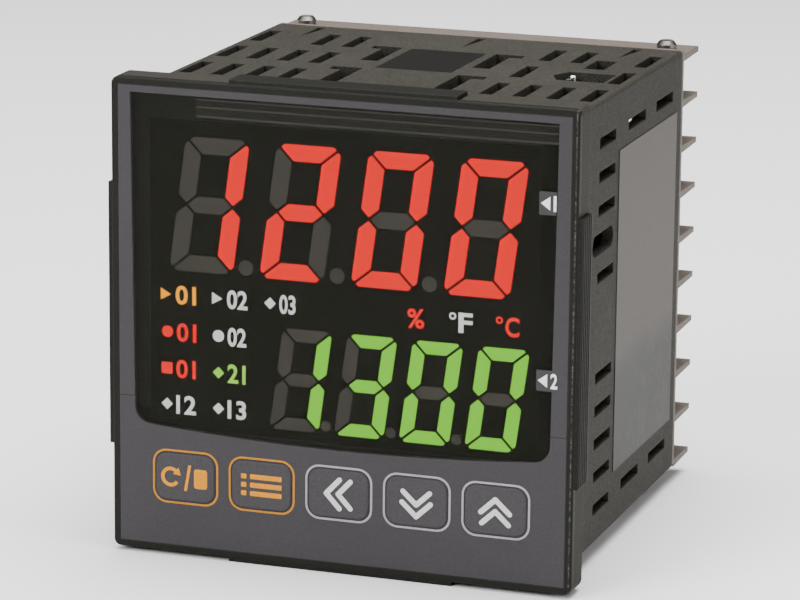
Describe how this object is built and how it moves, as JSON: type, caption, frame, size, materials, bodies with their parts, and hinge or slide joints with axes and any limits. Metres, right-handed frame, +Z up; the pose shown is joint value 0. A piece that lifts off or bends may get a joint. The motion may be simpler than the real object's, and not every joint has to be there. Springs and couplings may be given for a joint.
{
  "type": "temperature controller",
  "caption": "Square panel-mounting temperature controller with a two-row lit display behind a smoked window, a row of press keys, a vented case and a barrier terminal block at the rear.",
  "frame": {"origin": "centre of the panel plane, where the rear of the bezel meets the panel", "axes": "+Y from the front through the panel to the terminals, +Z up, +X right seen from the front"},
  "size_m": [0.0734, 0.0734, 0.0732],
  "materials": {
    "case_grey": "fine moulded grain",
    "frame_black": "fine moulded grain",
    "face_grey": "smooth satin",
    "window_smoke": "polished smoked sheet",
    "key_grey": "smooth satin",
    "plunger_black": "moulded",
    "switch_black": "moulded",
    "block_black": "moulded",
    "bar_red": "lit diffuser",
    "bar_green": "lit diffuser",
    "bar_dark": "unlit diffuser",
    "lamp_bar": "lit diffuser",
    "board_green": "solder mask",
    "chip_black": "moulded",
    "header_black": "moulded",
    "core_steel": "stacked sheets",
    "coil_copper": "enamelled winding",
    "capacitor_sleeve": "shrunk sleeve",
    "relay_case": "moulded",
    "sink_aluminium": "folded sheet",
    "block_grey": "fine moulded grain",
    "tab_brass": "plated",
    "clamp_steel": "plated",
    "screw_steel": "plated",
    "plate_dark": "smooth",
    "label_grey": "satin printed film, blank"
  },
  "bodies": {
    "controller": {"rear_case": "case_grey", "front_frame": "frame_black", "face_trim": "face_grey", "key_panel": "face_grey", "display_window": "window_smoke", "display_block": "block_black", "pv_bars_lit": "bar_red", "pv_bars_dark": "bar_dark", "sv_bars_lit": "bar_green", "sv_bars_dark": "bar_dark", "lamp_bars": "lamp_bar", "display_board": "board_green", "left_board": "board_green", "right_board": "board_green", "controller_chip": "chip_black", "left_header": "header_black", "right_header": "header_black", "transformer_core": "core_steel", "transformer_coil": "coil_copper", "capacitor_1": "capacitor_sleeve", "capacitor_2": "capacitor_sleeve", "relay_1": "relay_case", "relay_2": "relay_case", "heat_sink": "sink_aluminium", "terminal_block": "block_grey", "terminal_tabs": "tab_brass", "terminal_clamps": "clamp_steel", "terminal_screws": "screw_steel", "case_screws": "screw_steel", "top_plate": "plate_dark", "side_label": "label_grey", "tact_switch_1": "switch_black", "tact_switch_2": "switch_black", "tact_switch_3": "switch_black", "tact_switch_4": "switch_black", "tact_switch_5": "switch_black"},
    "button_1": {"key_1": "key_grey", "switch_plunger_1": "plunger_black"},
    "button_2": {"key_2": "key_grey", "switch_plunger_2": "plunger_black"},
    "button_3": {"key_3": "key_grey", "switch_plunger_3": "plunger_black"},
    "button_4": {"key_4": "key_grey", "switch_plunger_4": "plunger_black"},
    "button_5": {"key_5": "key_grey", "switch_plunger_5": "plunger_black"}
  },
  "joints": [
    {"name": "button_1_press", "type": "slide", "parent": "controller", "child": "button_1", "axis": [0, 1, 0], "range_m": [0, 0.00035], "stiffness_N_per_m": 1500},
    {"name": "button_2_press", "type": "slide", "parent": "controller", "child": "button_2", "axis": [0, 1, 0], "range_m": [0, 0.00035], "stiffness_N_per_m": 1500},
    {"name": "button_3_press", "type": "slide", "parent": "controller", "child": "button_3", "axis": [0, 1, 0], "range_m": [0, 0.00035], "stiffness_N_per_m": 1500},
    {"name": "button_4_press", "type": "slide", "parent": "controller", "child": "button_4", "axis": [0, 1, 0], "range_m": [0, 0.00035], "stiffness_N_per_m": 1500},
    {"name": "button_5_press", "type": "slide", "parent": "controller", "child": "button_5", "axis": [0, 1, 0], "range_m": [0, 0.00035], "stiffness_N_per_m": 1500}
  ]
}
